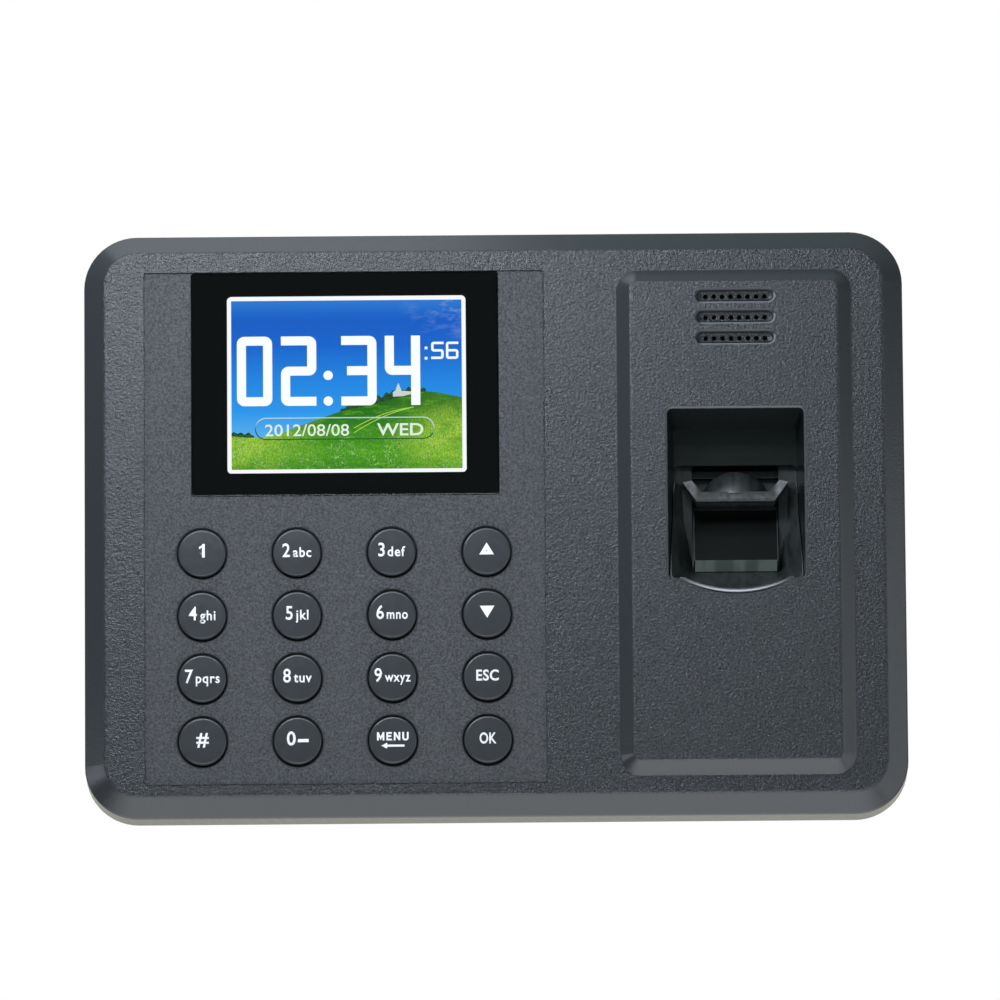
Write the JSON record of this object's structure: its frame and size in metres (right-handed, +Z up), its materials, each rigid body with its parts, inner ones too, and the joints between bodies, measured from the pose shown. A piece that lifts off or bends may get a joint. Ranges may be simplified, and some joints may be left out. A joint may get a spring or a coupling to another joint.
{
  "type": "fingerprint scanner terminal",
  "caption": "Wall-held time and access terminal: a dark case with a colour display, a round-key keypad and a raised panel with a loudspeaker grille and a recessed fingerprint sensor.",
  "frame": {"origin": "centre of the wall plate's back face, midway between its four screw holes", "axes": "+Z up the wall, the face looks along -Y, +X to the right of a person facing it"},
  "size_m": [0.185, 0.03, 0.1336],
  "materials": {
    "cover_plastic": "fine spark-eroded grain",
    "key_plastic": "smooth satin",
    "window_acrylic": "polished",
    "mask_print": "black print",
    "lcd_glass": "lit liquid crystal display",
    "white_plastic": "light guide",
    "tray_steel": "tin-plated sheet",
    "screw_steel": "zinc plated",
    "plate_steel": "galvanised sheet",
    "flex_film": "polyimide film",
    "silicone": "matt silicone",
    "circuit_board": "solder mask",
    "cable_insulation": "PVC",
    "wire_red": "PVC",
    "chip_epoxy": "moulded epoxy",
    "capacitor_sleeve": "shrink sleeve",
    "black_plastic": "moulded",
    "speaker_paper": "pressed paper",
    "speaker_mesh": "woven dust cloth",
    "cradle_plastic": "satin",
    "sensor_optic": "coated prism face",
    "lens_glass": "polished",
    "led_resin": "clear red resin",
    "case_plastic": "fine grain",
    "foot_rubber": "matt",
    "label_film": "blank polyester film",
    "cell_steel": "polished nickel plate"
  },
  "bodies": {
    "case": {"front_cover": "cover_plastic", "rear_case": "case_plastic", "display_window": "window_acrylic", "window_mask": "mask_print", "lcd_panel": "lcd_glass", "lcd_backlight": "white_plastic", "lcd_frame": "tray_steel", "lcd_flex_cable": "flex_film", "keypad_mat": "silicone", "keypad_board": "circuit_board", "keypad_screws": "screw_steel", "keypad_cable": "cable_insulation", "main_board": "circuit_board", "main_board_screws": "screw_steel", "processor_chip": "chip_epoxy", "memory_chip": "chip_epoxy", "capacitors": "capacitor_sleeve", "coin_cell": "cell_steel", "coin_cell_holder": "black_plastic", "usb_port": "tray_steel", "dc_jack": "black_plastic", "speaker_frame": "black_plastic", "speaker_magnet": "screw_steel", "speaker_cone": "speaker_paper", "speaker_cloth": "speaker_mesh", "speaker_screws": "screw_steel", "speaker_wires": "wire_red", "sensor_cradle": "cradle_plastic", "sensor_glass": "sensor_optic", "sensor_housing": "black_plastic", "sensor_board": "circuit_board", "sensor_lens": "lens_glass", "sensor_leds": "led_resin", "cradle_screws": "screw_steel", "sensor_cable": "cable_insulation", "wall_plate": "plate_steel", "wall_plate_lock_screw": "screw_steel", "case_screws": "screw_steel", "rubber_feet": "foot_rubber", "rating_label": "label_film"},
    "key_1": {"key_1": "key_plastic"},
    "key_2": {"key_2": "key_plastic"},
    "key_3": {"key_3": "key_plastic"},
    "key_up": {"key_up": "key_plastic"},
    "key_4": {"key_4": "key_plastic"},
    "key_5": {"key_5": "key_plastic"},
    "key_6": {"key_6": "key_plastic"},
    "key_down": {"key_down": "key_plastic"},
    "key_7": {"key_7": "key_plastic"},
    "key_8": {"key_8": "key_plastic"},
    "key_9": {"key_9": "key_plastic"},
    "key_esc": {"key_esc": "key_plastic"},
    "key_hash": {"key_hash": "key_plastic"},
    "key_0": {"key_0": "key_plastic"},
    "key_menu": {"key_menu": "key_plastic"},
    "key_ok": {"key_ok": "key_plastic"}
  },
  "joints": [
    {"name": "key_1_press", "type": "slide", "parent": "case", "child": "key_1", "axis": [0, 1, 0], "range_m": [0, 0.001], "stiffness_N_per_m": 700},
    {"name": "key_2_press", "type": "slide", "parent": "case", "child": "key_2", "axis": [0, 1, 0], "range_m": [0, 0.001], "stiffness_N_per_m": 700},
    {"name": "key_3_press", "type": "slide", "parent": "case", "child": "key_3", "axis": [0, 1, 0], "range_m": [0, 0.001], "stiffness_N_per_m": 700},
    {"name": "key_up_press", "type": "slide", "parent": "case", "child": "key_up", "axis": [0, 1, 0], "range_m": [0, 0.001], "stiffness_N_per_m": 700},
    {"name": "key_4_press", "type": "slide", "parent": "case", "child": "key_4", "axis": [0, 1, 0], "range_m": [0, 0.001], "stiffness_N_per_m": 700},
    {"name": "key_5_press", "type": "slide", "parent": "case", "child": "key_5", "axis": [0, 1, 0], "range_m": [0, 0.001], "stiffness_N_per_m": 700},
    {"name": "key_6_press", "type": "slide", "parent": "case", "child": "key_6", "axis": [0, 1, 0], "range_m": [0, 0.001], "stiffness_N_per_m": 700},
    {"name": "key_down_press", "type": "slide", "parent": "case", "child": "key_down", "axis": [0, 1, 0], "range_m": [0, 0.001], "stiffness_N_per_m": 700},
    {"name": "key_7_press", "type": "slide", "parent": "case", "child": "key_7", "axis": [0, 1, 0], "range_m": [0, 0.001], "stiffness_N_per_m": 700},
    {"name": "key_8_press", "type": "slide", "parent": "case", "child": "key_8", "axis": [0, 1, 0], "range_m": [0, 0.001], "stiffness_N_per_m": 700},
    {"name": "key_9_press", "type": "slide", "parent": "case", "child": "key_9", "axis": [0, 1, 0], "range_m": [0, 0.001], "stiffness_N_per_m": 700},
    {"name": "key_esc_press", "type": "slide", "parent": "case", "child": "key_esc", "axis": [0, 1, 0], "range_m": [0, 0.001], "stiffness_N_per_m": 700},
    {"name": "key_hash_press", "type": "slide", "parent": "case", "child": "key_hash", "axis": [0, 1, 0], "range_m": [0, 0.001], "stiffness_N_per_m": 700},
    {"name": "key_0_press", "type": "slide", "parent": "case", "child": "key_0", "axis": [0, 1, 0], "range_m": [0, 0.001], "stiffness_N_per_m": 700},
    {"name": "key_menu_press", "type": "slide", "parent": "case", "child": "key_menu", "axis": [0, 1, 0], "range_m": [0, 0.001], "stiffness_N_per_m": 700},
    {"name": "key_ok_press", "type": "slide", "parent": "case", "child": "key_ok", "axis": [0, 1, 0], "range_m": [0, 0.001], "stiffness_N_per_m": 700}
  ]
}
